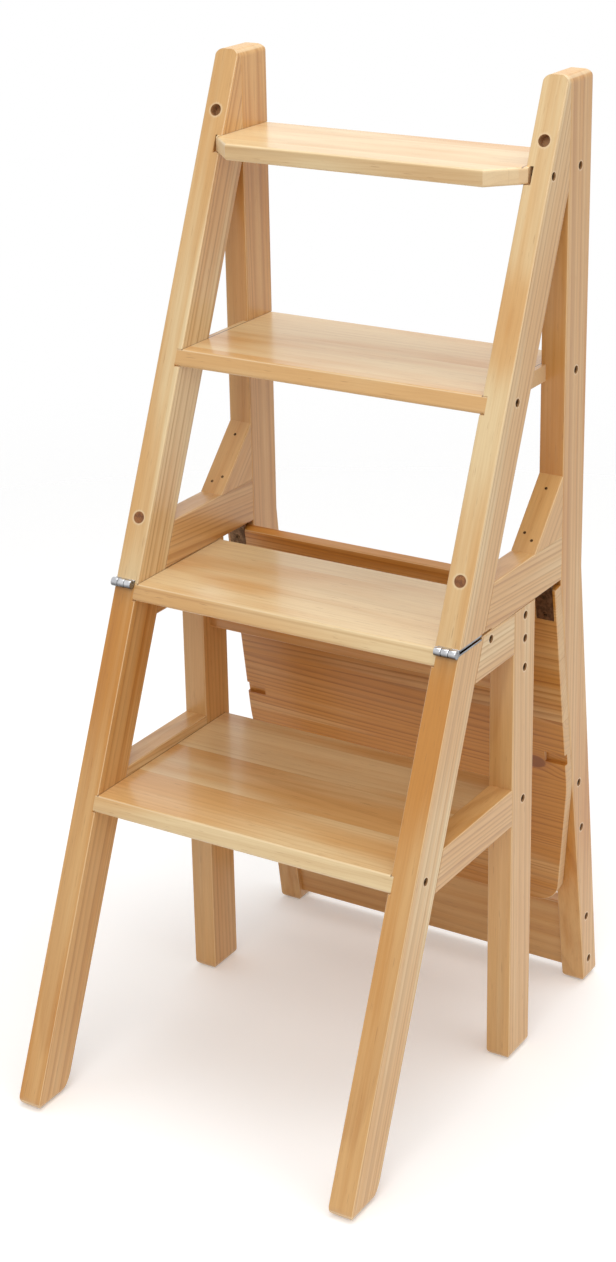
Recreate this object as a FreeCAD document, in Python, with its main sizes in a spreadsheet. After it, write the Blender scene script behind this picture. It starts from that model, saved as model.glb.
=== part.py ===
import FreeCAD, Part
import math
import os
import re
import Sketcher
from FreeCAD import Placement, Rotation, Vector

# Folding step stool chair: a small wooden ladder whose upper half tips over forwards, on two
# hinges, to make a chair. It stands here as the ladder.
# Millimetres. X runs to the right, Y to the rear, Z up. While the pieces are drawn, Y is measured
# from the line where the front faces of the two halves meet; the finished pieces then move so
# that the origin lies on the floor in the middle of the whole ladder.

SIZES = {
    # The whole ladder
    "hinge_level": 450,
    "overall_width": 352,
    "wood_thickness": 24,
    "edge_round": 1.5,
    "end_round": 8,
    # Front legs and, in line with them, the front posts
    "front_slope": 0.42,
    "front_leg_depth": 44.5,
    "heel_round": 28,
    # Rear legs of the lower half
    "rear_leg_back": 141,
    "rear_leg_depth": 40,
    # Long posts, upright above the hinge level and splayed below it, a little behind the front
    # posts' sloping faces at the top
    "post_top_land": 3.5,
    "long_post_depth": 42.5,
    "long_post_splay": 0.158,
    "long_foot_depth": 27.5,
    # Rails, gussets and apron
    "lower_top_rail_height": 39,
    "lower_bottom_rail_height": 36,
    "rail_above_step": 9,
    "upper_rail_height": 42,
    "gusset_run": 53.5,
    "gusset_rise": 56,
    "apron_front": 113,
    "apron_thickness": 18,
    "apron_height": 67,
    # Steps
    "step_thickness": 15,
    "step_edge_round": 2.5,
    "lower_step_drop": 179,
    "middle_step_rise": 198,
    "top_step_below_top": 72,
    "lower_step_setback": 6,
    "upper_step_setback": 1,
    "dado_depth": 2.8,
    "middle_dado_depth": 5,
    "top_dado_depth": 7,
    "top_step_end_gap": 3,
    "nose_reach": 29,
    "nose_corner": 28,
    # Backrest slats, let in between the splayed ends of the long posts
    "slat_width": 76,
    "slat_thickness": 15,
    "slat_setback": 5,
    "low_slat_height": 48.7,
    "high_slat_height": 203.6,
    # Seat board, measured along the board from its hinge pin
    "seat_thickness": 12,
    "seat_reach": 356,
    "seat_edge_from_pin": 4,
    "seat_taper_start": 218,
    "seat_taper": 18.5,
    "seat_corner_round": 26,
    "seat_waist_round": 150,
    "seat_rest_gap": 0.4,
    "seat_fold_gap": 0.8,
    # Front hinges, on which the upper half tips over
    "front_pin_ahead": 4.2,
    "front_knuckle_radius": 4,
    "front_pin_radius": 1.6,
    "front_leaf_reach": 43.7,
    "front_leaf_thickness": 1.6,
    "front_leaf_offset": 1.1,
    "front_mortise_spare": 18,
    # Seat hinges, between the upper rails and the seat board
    "seat_knuckle_radius": 2.6,
    "seat_pin_radius": 1.3,
    "seat_leaf_width": 17,
    "seat_leaf_reach": 36,
    "seat_leaf_thickness": 1.2,
    "seat_pin_below_rail": 2.2,
    # Fits and running gaps
    "fit_clearance": 0.05,
    "hinge_gap": 0.4,
    "recess_clearance": 1.5,
    # Fasteners
    "screw_head_radius": 3.6,
    "screw_head_height": 2.6,
    "screw_shank_radius": 2,
    "screw_length": 40,
    "screw_sink": 1.5,
    "post_screw_length": 45,
    "plug_radius": 5.3,
    "plug_length": 9,
    "leaf_screw_head_radius": 2.5,
    "leaf_screw_head_height": 1.1,
    "leaf_screw_shank_radius": 1.2,
    "leaf_screw_length": 10,
    "nail_head_radius": 1.4,
    "nail_shank_radius": 0.8,
    "nail_length": 32,
    "dowel_radius": 4,
    "dowel_length": 30,
    "dowel_hole_spare": 1,
}

# What follows from the sizes
PLACES = {
    "half_width": "overall_width / 2",
    "inner_face": "overall_width / 2 - wood_thickness",
    "member_middle": "overall_width / 2 - wood_thickness / 2",
    "total_height": "2 * hinge_level",
    "rear_leg_front": "rear_leg_back - rear_leg_depth",
    "long_post_front": "front_slope * hinge_level + post_top_land",
    "long_post_back": "long_post_front + long_post_depth",
    "long_foot_front": "long_post_front + long_post_splay * hinge_level",
    "long_foot_back": "long_foot_front + long_foot_depth",
    "splay_angle": "atan(long_post_splay)",
    "lower_top_rail_bottom": "hinge_level - lower_top_rail_height",
    "lower_step_top": "hinge_level - lower_step_drop",
    "lower_step_bottom": "lower_step_top - step_thickness",
    "lower_bottom_rail_top": "lower_step_top + rail_above_step",
    "lower_bottom_rail_bottom": "lower_bottom_rail_top - lower_bottom_rail_height",
    "hinge_step_bottom": "hinge_level - step_thickness",
    "lower_steps_back": "rear_leg_back - lower_step_setback",
    "middle_step_top": "hinge_level + middle_step_rise",
    "middle_step_bottom": "middle_step_top - step_thickness",
    "top_step_top": "total_height - top_step_below_top",
    "top_step_bottom": "top_step_top - step_thickness",
    "upper_steps_back": "long_post_back - upper_step_setback",
    "top_step_front": "front_slope * (top_step_bottom - hinge_level) - nose_reach + step_thickness / 5",
    "upper_rail_top": "hinge_level + upper_rail_height",
    "front_leaf_width": "wood_thickness - dado_depth - hinge_gap",
    "front_leaf_middle": "half_width - front_leaf_width / 2",
    "front_mortise_depth": "front_leaf_offset + front_leaf_thickness",
    "seat_pin_in_board": "seat_pin_below_rail - seat_fold_gap",
    "board_leaf_offset": "seat_fold_gap - seat_pin_below_rail",
    "seat_pin_to_post": "seat_thickness - seat_pin_in_board + seat_rest_gap",
    "seat_pin_back": "long_post_front - (seat_pin_to_post / cos(splay_angle)"
                     " - seat_pin_below_rail * long_post_splay)",
    "seat_pin_level": "hinge_level - seat_pin_below_rail",
    "seat_recess_from_pin": "seat_pin_back + front_pin_ahead",
    "toe_angle": "90 deg - atan(front_slope)",
    "rear_toe_angle": "90 deg - atan((long_foot_back - long_post_back) / hinge_level)",
    "front_extent": "front_slope * hinge_level - end_round * (1 / tan(toe_angle / 2) - 1)",
    "rear_extent": "long_foot_back - end_round * (1 / tan(rear_toe_angle / 2) - 1)",
    "depth_middle": "(rear_extent - front_extent) / 2",
}

SIDES = {"left": -1, "right": 1}
ALONG_X = Rotation(Vector(0, 1, 0), 90)
UNTURNED = Rotation()

document = FreeCAD.newDocument("folding_step_chair")
nodes = {}


def formula(text, sheet_name="Places"):
    """A formula in size names, with each name led by the sheet that holds it."""
    def with_sheet(found):
        word = found.group()
        if word in SIZES:
            return "Sizes." + word
        return f"{sheet_name}.{word}" if word in PLACES and sheet_name else word
    return re.sub(r"[a-z_]+", with_sheet, text)


def make_sheet(name, contents):
    sheet = document.addObject("Spreadsheet::Sheet", name)
    for row, (alias, content) in enumerate(contents.items(), start=1):
        sheet.set(f"A{row}", alias)
        sheet.set(f"B{row}", content)
        sheet.setAlias(f"B{row}", alias)
    document.recompute()
    return sheet


sizes = make_sheet("Sizes", {alias: str(number) for alias, number in SIZES.items()})
places = make_sheet("Places", {alias: "=" + formula(text, "") for alias, text in PLACES.items()})


def size(alias):
    """The number that a sheet holds under this name."""
    value = sizes.get(alias) if alias in SIZES else places.get(alias)
    return float(getattr(value, "Value", value))


def bind(item, **formulas):
    for name, text in formulas.items():
        item.setExpression(name, formula(text))


def put(item, x="0", y="0", z="0", turn=None):
    """Places an item by formulas, turned about X by the angle in turn."""
    if turn:
        item.Placement = Placement(Vector(), Rotation(Vector(1, 0, 0), 1))
        item.setExpression("Placement.Rotation.Angle", formula(turn))
    for axis, text in zip("xyz", (x, y, z)):
        item.setExpression(f"Placement.Base.{axis}", formula(text))


def finish(item, label, y="-depth_middle", **place):
    """Names a finished piece and moves it to its place about the final origin."""
    put(item, y=y, **place)
    item.Label = label
    nodes[label] = item


def to_side(side, near, far):
    """The lower X of what spans near to far from the middle on the right, or its mirror image."""
    return near if side == "right" else f"-({far})"


def at_side(side, x):
    return x if side == "right" else f"-({x})"


# Building blocks

def box(name, low, spans, rotation=UNTURNED):
    item = document.addObject("Part::Box", name)
    bind(item, Length=spans[0], Width=spans[1], Height=spans[2])
    item.Placement = Placement(Vector(), rotation)
    put(item, *low)
    return item


def cylinder_along_x(name, low, radius, length):
    item = document.addObject("Part::Cylinder", name)
    bind(item, Radius=radius, Height=length)
    item.Placement = Placement(Vector(), ALONG_X)
    put(item, *low)
    return item


def group(name, items):
    item = document.addObject("Part::Compound", name)
    item.Links = items
    return item


def fused(name, items):
    item = document.addObject("Part::MultiFuse", name)
    item.Shapes = items
    return item


def cut(name, base, tool):
    item = document.addObject("Part::Cut", name)
    item.Base = base
    item.Tool = tool
    return item


def common(name, base, tool):
    item = document.addObject("Part::Common", name)
    item.Base = base
    item.Tool = tool
    return item


def outline(body, name, plane, corners):
    """A closed outline of straight lines; formulas hold each corner at its place."""
    sketch = body.newObject("Sketcher::SketchObject", name)
    origin_plane = next(item for item in body.Origin.OriginFeatures if item.Role == plane)
    sketch.AttachmentSupport = [(origin_plane, "")]
    sketch.MapMode = "FlatFace"
    count = len(corners)
    circle = [2 * math.pi * index / count for index in range(count)]
    start = [Vector(100 * math.cos(angle), 100 * math.sin(angle), 0) for angle in circle]
    for index in range(count):
        sketch.addGeometry(Part.LineSegment(start[index], start[(index + 1) % count]), False)
    for index in range(count):
        sketch.addConstraint(Sketcher.Constraint("Coincident", index, 2, (index + 1) % count, 1))
    for index, corner in enumerate(corners):
        for kind, text in zip(("DistanceX", "DistanceY"), corner):
            held = sketch.addConstraint(Sketcher.Constraint(kind, -1, 1, index, 1, 1.0))
            sketch.setExpression(f"Constraints[{held}]", formula(text))
    return sketch


def plate(name, corners, thickness, plane="YZ_Plane", centred=False):
    """A body padded from one outline: from its plane on, or to both sides of it."""
    body = document.addObject("PartDesign::Body", name)
    sketch = outline(body, name + "_outline", plane, corners)
    pad = body.newObject("PartDesign::Pad", name + "_pad")
    pad.Profile = sketch
    pad.Midplane = centred
    bind(pad, Length=thickness)
    document.recompute()
    return body


def turned(name, profile):
    """A round body about Z from its half outline of (radius, height) corners."""
    body = document.addObject("PartDesign::Body", name)
    sketch = outline(body, name + "_outline", "XZ_Plane", profile)
    revolution = body.newObject("PartDesign::Revolution", name + "_turning")
    revolution.Profile = sketch
    revolution.ReferenceAxis = (sketch, ["V_Axis"])
    revolution.Angle = 360
    return body


def round_edges(body, name, radius, chosen):
    """Rounds the edges of a body that the chosen test picks out by their two ends."""
    base = body.Tip
    picked = []
    for number, edge in enumerate(base.Shape.Edges, start=1):
        ends = [vertex.Point for vertex in edge.Vertexes]
        if len(ends) == 2 and chosen(*ends):
            picked.append(f"Edge{number}")
    fillet = body.newObject("PartDesign::Fillet", name)
    fillet.Base = (base, picked)
    bind(fillet, Radius=radius)
    document.recompute()


def is_across(first, last):
    """Whether an edge runs along X."""
    return abs(first.x - last.x) > 1


def is_level(first, last, height):
    """Whether an edge lies at this height."""
    return abs(first.z - height) < 0.01 and abs(last.z - height) < 0.01


def is_upright_end(first, last):
    """Whether a side edge runs straight up or down."""
    return abs(first.y - last.y) < 0.01


def copies(name, master, spots):
    """One feature that holds a copy of the master at each spot."""
    item = document.addObject("Part::Feature", name)
    solids = []
    for spot in spots:
        solid = master.Shape.copy()
        solid.Placement = spot.multiply(master.Shape.Placement)
        solids.append(solid)
    item.Shape = Part.makeCompound(solids)
    return item


def aimed(x, y, z, direction):
    """A spot whose Z axis points along the direction."""
    return Placement(Vector(x, y, z), Rotation(Vector(0, 0, 1), direction))


def rounded_envelope(name, side, low, height, ends):
    """A block the width of one member whose bottom or top corners, seen from the front, are round."""
    body = plate(
        name,
        [("0", "0"), ("wood_thickness", "0"), ("wood_thickness", height), ("0", height)],
        "4 * rear_extent", "XZ_Plane", centred=True,
    )
    levels = {"bottom": [0], "top": [size(height)], "both": [0, size(height)]}[ends]
    round_edges(
        body, name + "_corners", "end_round",
        lambda first, last: abs(first.y - last.y) > 1
        and any(is_level(first, last, level) for level in levels),
    )
    put(body, x=to_side(side, "inner_face", "half_width"), z=low)
    return body


# Fasteners: one of each kind, with the hole that it sits in. Each points along Z from its head.

def countersunk(name, head, height, shank, length):
    screw = turned(name + "_blank", [
        ("0", "0"),
        (head, "0"),
        (head, f"{height} / 5"),
        (shank, height),
        (shank, f"{length} - 2 * {shank}"),
        ("0", length),
    ])
    slot_size = (f"{head} * 1.1", f"{head} / 5", f"{height} * 0.6")
    slots = []
    for direction in range(2):
        spans = (slot_size[direction], slot_size[1 - direction], slot_size[2])
        low = (f"-{spans[0]} / 2", f"-{spans[1]} / 2", "0")
        slots.append(box(f"{name}_slot_{direction}", low, spans))
    return cut(name, screw, fused(name + "_cross", slots))


def countersunk_hole(name, head, height, shank, length, above):
    """The hole of a countersunk screw, open for a length above the head."""
    return turned(name, [
        ("0", f"-({above})"),
        (f"{head} + fit_clearance", f"-({above})"),
        (f"{head} + fit_clearance", f"{height} / 5"),
        (f"{shank} + fit_clearance", f"{height} + fit_clearance"),
        (f"{shank} + fit_clearance", f"{length} + dowel_hole_spare"),
        ("0", f"{length} + dowel_hole_spare"),
    ])


side_screw = ("screw_head_radius", "screw_head_height", "screw_shank_radius", "screw_length")
post_screw = side_screw[:3] + ("post_screw_length",)
leaf_screw = (
    "leaf_screw_head_radius", "leaf_screw_head_height", "leaf_screw_shank_radius", "leaf_screw_length",
)
screw_master = countersunk("screw_master", *side_screw)
screw_hole = countersunk_hole("screw_hole", *side_screw, "screw_sink + 1")
post_screw_master = countersunk("post_screw_master", *post_screw)
post_screw_hole = countersunk_hole("post_screw_hole", *post_screw, "0.01")
leaf_screw_master = countersunk("leaf_screw_master", *leaf_screw)
leaf_screw_hole = countersunk_hole("leaf_screw_hole", *leaf_screw, "0.3")
plug_master = turned("plug_master", [
    ("0", "0"), ("plug_radius", "0"), ("plug_radius", "plug_length"), ("0", "plug_length"),
])
plug_hole = turned("plug_hole", [
    ("0", "-2"),
    ("plug_radius + fit_clearance", "-2"),
    ("plug_radius + fit_clearance", "plug_length"),
    ("0", "plug_length"),
])
nail_master = turned("nail_master", [
    ("0", "0"),
    ("nail_head_radius", "0"),
    ("nail_shank_radius", "nail_head_radius"),
    ("nail_shank_radius", "nail_length - nail_head_radius"),
    ("0", "nail_length"),
])
nail_hole = turned("nail_hole", [
    ("0", "-1"),
    ("nail_head_radius + fit_clearance", "-1"),
    ("nail_head_radius + fit_clearance", "0"),
    ("nail_shank_radius + fit_clearance", "nail_head_radius"),
    ("nail_shank_radius + fit_clearance", "nail_length + dowel_hole_spare"),
    ("0", "nail_length + dowel_hole_spare"),
])
dowel_master = turned("dowel_master", [
    ("0", "-dowel_length / 2"),
    ("dowel_radius", "-dowel_length / 2"),
    ("dowel_radius", "dowel_length / 2"),
    ("0", "dowel_length / 2"),
])
dowel_hole = turned("dowel_hole", [
    ("0", "-dowel_length / 2 - dowel_hole_spare"),
    ("dowel_radius + fit_clearance", "-dowel_length / 2 - dowel_hole_spare"),
    ("dowel_radius + fit_clearance", "dowel_length / 2 + dowel_hole_spare"),
    ("0", "dowel_length / 2 + dowel_hole_spare"),
])
document.recompute()


def front_face(height):
    """How far behind the hinge line the sloping front face is at a height."""
    return size("front_slope") * (height - size("hinge_level"))


def from_both_sides(spots):
    """Level spots on both outer faces, each (back, height), aimed at the middle."""
    surface = size("half_width") - size("screw_sink")
    return [
        aimed(side * surface, back, height, Vector(-side, 0, 0))
        for side in SIDES.values() for back, height in spots
    ]


def along_members(spots):
    """Spots in the middle of the left and right members, each (back, height), aimed rearwards."""
    return [
        aimed(side * size("member_middle"), back, height, Vector(0, 1, 0))
        for side in SIDES.values() for back, height in spots
    ]


# Where the fasteners of the lower half sit

def step_middle(alias):
    return size(alias) - size("step_thickness") / 2


rear_leg_screw_line = size("rear_leg_back") - size("rear_leg_depth") / 2 + 1
apron_top = size("hinge_step_bottom")
lower_step_middle = step_middle("lower_step_top")
lower_screw_spots = from_both_sides([
    (size("front_leg_depth") + 12.5, step_middle("hinge_level")),
    (rear_leg_screw_line, step_middle("hinge_level") - 1),
    (rear_leg_screw_line, apron_top - size("apron_height") * 0.23),
    (rear_leg_screw_line, apron_top - size("apron_height") * 0.64),
    (rear_leg_screw_line, lower_step_middle),
    (front_face(lower_step_middle) + size("front_leg_depth") * 0.45, lower_step_middle),
])
rail_levels = (
    size("lower_top_rail_bottom") + size("lower_top_rail_height") * 0.4,
    size("lower_bottom_rail_bottom") + size("lower_bottom_rail_height") / 2,
)
lower_dowel_spots = along_members(
    [(front_face(level) + size("front_leg_depth"), level) for level in rail_levels]
    + [(size("rear_leg_front"), level) for level in rail_levels]
)
lower_holes = group("lower_holes", [
    copies("lower_screw_holes", screw_hole, lower_screw_spots),
    copies("lower_dowel_holes", dowel_hole, lower_dowel_spots),
])

# Where the fasteners of the upper half sit

splay = math.atan(size("long_post_splay"))
slat_line = (size("slat_setback") + size("slat_thickness") / 2) / math.cos(splay)


def slat_spots(height):
    """Two screws through a long post into the end of a slat."""
    spots = []
    for step in (-1, 1):
        level = height + step * size("slat_width") / 3
        back = size("long_post_front") + size("long_post_splay") * (size("hinge_level") - level)
        spots.append((back + slat_line, level))
    return spots


post_middle = size("long_post_front") + size("long_post_depth") / 2
top_step_middle = step_middle("top_step_top")
middle_step_middle = step_middle("middle_step_top")
upper_screw_spots = from_both_sides([
    (front_face(top_step_middle) + 6.5, top_step_middle),
    (front_face(middle_step_middle) + size("front_leg_depth") * 0.47, middle_step_middle),
    (post_middle, top_step_middle),
    (post_middle, middle_step_middle),
] + slat_spots(size("high_slat_height")) + slat_spots(size("low_slat_height")))

into_front_face = Vector(0, 1, -size("front_slope")).normalize()
post_screw_levels = {"rail": size("upper_rail_top") + 12.5, "top": size("top_step_top") + 20.5}


def front_face_spots(levels, depth):
    """Spots a depth inside the sloping faces of both front posts, aimed square into them."""
    spots = []
    for side in SIDES.values():
        for level in levels:
            surface = Vector(side * size("member_middle"), front_face(level), level)
            inside = surface + into_front_face * depth
            spots.append(aimed(inside.x, inside.y, inside.z, into_front_face))
    return spots


post_screw_spots = front_face_spots(post_screw_levels.values(), size("plug_length") + 0.02)
upper_dowel_spots = along_members(
    [(size("long_post_front"), size("hinge_level") + size("upper_rail_height") / 2)]
)

gusset_slope = Vector(0, size("gusset_run"), size("gusset_rise"))
into_gusset = Vector(0, size("gusset_rise"), -size("gusset_run")).normalize()
gusset_foot = Vector(0, size("long_post_front") - size("gusset_run"), size("upper_rail_top"))
nail_spots = []
for side in SIDES.values():
    for share, sideways in ((0.82, 0), (0.24, -5), (0.16, 4)):
        spot = gusset_foot + gusset_slope * share + Vector(side * (size("member_middle") + sideways), 0, 0)
        nail_spots.append(aimed(spot.x, spot.y, spot.z, into_gusset))

upper_holes = group("upper_holes", [
    copies("upper_screw_holes", screw_hole, upper_screw_spots),
    copies("post_screw_holes", post_screw_hole, post_screw_spots),
    copies("plug_holes", plug_hole, front_face_spots(post_screw_levels.values(), 0)),
    copies("upper_dowel_holes", dowel_hole, upper_dowel_spots),
    copies("nail_holes", nail_hole, nail_spots),
])


# Hinges: a leaf is drawn about its pin, which runs along X through the origin, with its plate
# reaching to +Y on top of wood that lies below it.

KNUCKLES = 3


def knuckle_span(width):
    return f"({width} - {KNUCKLES - 1} * hinge_gap) / {KNUCKLES}"


def hinge_leaf(label, kind, width, offset, positions, middle, facing, **place):
    """One leaf: its plate, and a tongue and a knuckle at each of the given positions of three."""
    thickness, reach = f"{kind}_leaf_thickness", f"{kind}_leaf_reach"
    radius, pin = f"{kind}_knuckle_radius", f"{kind}_pin_radius"
    start, under = f"{radius} + hinge_gap", f"-({offset} + {thickness})"
    plate_spans = (width, f"{reach} - ({start})", thickness)
    blocks = [box(label + "_plate", (f"-{width} / 2", start, under), plate_spans)]
    span = knuckle_span(width)
    for position in positions:
        low = f"-{width} / 2 + {position} * ({span} + hinge_gap)"
        blocks.append(box(f"{label}_tongue_{position}", (low, "0", under), (span, start, thickness)))
        blocks.append(cylinder_along_x(f"{label}_knuckle_{position}", (low, "0", "0"), radius, span))
    metal = fused(label + "_metal", blocks)
    bore = cylinder_along_x(
        label + "_bore", (f"-{width}", "0", "0"), f"{pin} + fit_clearance", f"2 * {width}")
    holes = copies(label + "_screw_holes", leaf_screw_hole, leaf_screw_spots(kind, offset))
    metal.Placement = Placement(Vector(), facing)
    tools = group(label + "_tools", [bore, holes])
    tools.Placement = Placement(Vector(), facing)
    leaf = cut(label, metal, tools)
    finish(leaf, label, x=middle, **place)


def leaf_screw_spots(kind, offset):
    """Two screws in line along a leaf, heads level with its face, about the leaf's own pin."""
    reach = size(f"{kind}_leaf_reach")
    return [aimed(0, share * reach, -size(offset), Vector(0, 0, -1)) for share in (0.37, 0.86)]


def leaf_pair_spots(kind, offset, middles, facing, pin_spot):
    """Where the screws of a left and a right leaf sit."""
    return [
        Placement(Vector(middle, *pin_spot), facing).multiply(spot)
        for middle in middles for spot in leaf_screw_spots(kind, offset)
    ]


FACE_UP = UNTURNED
FACE_DOWN = Rotation(Vector(0, 1, 0), 180)
FACE_DOWN_FORWARD = Rotation(Vector(1, 0, 0), 180)
FACE_FORWARD_HANGING = Rotation(Vector(1, 0, 0), -90).multiply(Rotation(Vector(0, 1, 0), 180))

front_pin_spot = (-size("front_pin_ahead"), size("hinge_level"))
seat_pin_spot = (size("seat_pin_back"), size("seat_pin_level"))
front_middles = [side * size("front_leaf_middle") for side in SIDES.values()]
seat_middles = [side * size("member_middle") for side in SIDES.values()]
lower_leaf_spots = leaf_pair_spots(
    "front", "front_leaf_offset", front_middles, FACE_UP, front_pin_spot)
upper_leaf_spots = leaf_pair_spots(
    "front", "front_leaf_offset", front_middles, FACE_DOWN, front_pin_spot)
rail_leaf_spots = leaf_pair_spots(
    "seat", "seat_pin_below_rail", seat_middles, FACE_DOWN_FORWARD, seat_pin_spot)
board_leaf_spots = leaf_pair_spots(
    "seat", "board_leaf_offset", seat_middles, FACE_FORWARD_HANGING, (0, 0))
lower_leaf_holes = copies("lower_leaf_holes", leaf_screw_hole, lower_leaf_spots)
upper_leaf_holes = copies("upper_leaf_holes", leaf_screw_hole, upper_leaf_spots)
rail_leaf_holes = copies("rail_leaf_holes", leaf_screw_hole, rail_leaf_spots)
board_leaf_holes = copies("board_leaf_holes", leaf_screw_hole, board_leaf_spots)


# Cuts that several pieces share

def dado(name, side, depth, bottom):
    """A groove across a member's inner face for the end of a step."""
    low = (to_side(side, "inner_face - 1", f"inner_face + {depth}"), "-front_extent - 1", bottom)
    return box(name, low, (f"{depth} + 1", "2 * front_extent + 2 * long_foot_back", "step_thickness"))


def front_mortise(name, side, height, spare):
    """The recess for a front hinge leaf, below or above the hinge level."""
    low = (to_side(side, "half_width - front_leaf_width", "half_width + 1"), "-1", height)
    reach = f"front_leaf_reach - front_pin_ahead + hinge_gap + {spare} + 1"
    return box(name, low, ("front_leaf_width + 1", reach, "front_mortise_depth"))


# Lower half

for side in SIDES:
    # Front leg: slopes forwards to the floor, its heel rounded off
    leg = plate(
        f"front_leg_{side}_blank",
        [
            ("0", "hinge_level"),
            ("front_leg_depth", "hinge_level"),
            ("front_leg_depth - front_slope * hinge_level", "0"),
            ("-front_slope * hinge_level", "0"),
        ],
        "wood_thickness",
    )
    toe = -size("front_slope") * size("hinge_level")
    round_edges(
        leg, f"front_leg_{side}_toe", "end_round",
        lambda first, last: is_across(first, last) and is_level(first, last, 0) and abs(first.y - toe) < 1,
    )
    round_edges(
        leg, f"front_leg_{side}_heel", "heel_round",
        lambda first, last: is_across(first, last) and is_level(first, last, 0) and first.y > toe + 30,
    )
    round_edges(
        leg, f"front_leg_{side}_edges", "edge_round",
        lambda first, last: not is_across(first, last) and not is_level(first, last, size("hinge_level")),
    )
    put(leg, x=to_side(side, "inner_face", "half_width"))
    tools = group(f"front_leg_{side}_tools", [
        dado(f"front_leg_{side}_top_dado", side, "dado_depth", "hinge_step_bottom"),
        dado(f"front_leg_{side}_lower_dado", side, "dado_depth", "lower_step_bottom"),
        front_mortise(f"front_leg_{side}_mortise", side, "hinge_level - front_mortise_depth", "0"),
    ])
    grooved = cut(f"front_leg_{side}_grooved", leg, tools)
    bored = cut(f"front_leg_{side}_bored", grooved, lower_holes)
    drilled = cut(f"front_leg_{side}_drilled", bored, lower_leaf_holes)
    envelope = rounded_envelope(f"front_leg_{side}_envelope", side, "0", "hinge_level", "bottom")
    finish(common(f"front_leg_{side}", drilled, envelope), f"front_leg_{side}")

    # Rear leg: upright
    leg = plate(
        f"rear_leg_{side}_blank",
        [
            ("rear_leg_front", "0"),
            ("rear_leg_back", "0"),
            ("rear_leg_back", "hinge_level"),
            ("rear_leg_front", "hinge_level"),
        ],
        "wood_thickness",
    )
    round_edges(
        leg, f"rear_leg_{side}_foot", "end_round",
        lambda first, last: is_across(first, last) and is_level(first, last, 0),
    )
    round_edges(
        leg, f"rear_leg_{side}_edges", "edge_round",
        lambda first, last: not is_across(first, last) and not is_level(first, last, size("hinge_level")),
    )
    put(leg, x=to_side(side, "inner_face", "half_width"))
    envelope = rounded_envelope(f"rear_leg_{side}_envelope", side, "0", "hinge_level", "bottom")
    bored = cut(f"rear_leg_{side}_bored", leg, lower_holes)
    finish(common(f"rear_leg_{side}", bored, envelope), f"rear_leg_{side}")

    # Rails between the legs, their front ends cut to the slope of the front leg
    for level, bottom, top in (
        ("top", "lower_top_rail_bottom", "hinge_level"),
        ("bottom", "lower_bottom_rail_bottom", "lower_bottom_rail_top"),
    ):
        name = f"lower_{level}_rail_{side}"
        rail = plate(
            name + "_blank",
            [
                (f"front_leg_depth - front_slope * (hinge_level - {bottom})", bottom),
                ("rear_leg_front", bottom),
                ("rear_leg_front", top),
                (f"front_leg_depth - front_slope * (hinge_level - {top})", top),
            ],
            "wood_thickness",
        )
        round_edges(
            rail, name + "_edges", "edge_round",
            lambda first, last: not is_across(first, last) and abs(first.z - last.z) < 0.01,
        )
        put(rail, x=to_side(side, "inner_face", "half_width"))
        finish(cut(name, rail, lower_holes), name)

for name, top, bottom in (
    ("hinge_level_step", "hinge_level", "hinge_step_bottom"),
    ("lower_step", "lower_step_top", "lower_step_bottom"),
):
    # Step: front edge flush with the sloping leg faces, its front corners let into the legs
    step = plate(
        name + "_blank",
        [
            (f"-front_slope * (hinge_level - {bottom})", bottom),
            ("lower_steps_back", bottom),
            ("lower_steps_back", top),
            (f"-front_slope * (hinge_level - {top})", top),
        ],
        "2 * (inner_face + dado_depth)", centred=True,
    )
    round_edges(step, name + "_edges", "step_edge_round", is_across)
    ears_end = f"front_leg_depth - front_slope * (hinge_level - {bottom}) - hinge_gap"
    trims = [
        box(
            f"{name}_trim_{side}",
            (to_side(side, "inner_face", "inner_face + dado_depth + 1"), ears_end, f"{bottom} - 1"),
            ("dado_depth + 1", "lower_steps_back + front_extent", "step_thickness + 2"),
        )
        for side in SIDES
    ]
    trimmed = cut(name + "_trimmed", step, group(name + "_trims", trims))
    finish(cut(name, trimmed, lower_holes), name)

# Apron: stiffens the rear legs under the hinge-level step
apron = plate(
    "rear_apron_blank",
    [
        ("apron_front", "hinge_step_bottom - apron_height"),
        ("apron_front + apron_thickness", "hinge_step_bottom - apron_height"),
        ("apron_front + apron_thickness", "hinge_step_bottom"),
        ("apron_front", "hinge_step_bottom"),
    ],
    "2 * inner_face", centred=True,
)
round_edges(
    apron, "rear_apron_edges", "edge_round",
    lambda first, last: is_across(first, last)
    and is_level(first, last, size("hinge_step_bottom") - size("apron_height")),
)
finish(cut("rear_apron", apron, lower_holes), "rear_apron")
finish(copies("lower_frame_screws", screw_master, lower_screw_spots), "lower_frame_screws")
finish(copies("lower_frame_dowels", dowel_master, lower_dowel_spots), "lower_frame_dowels")


# Upper half

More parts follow.
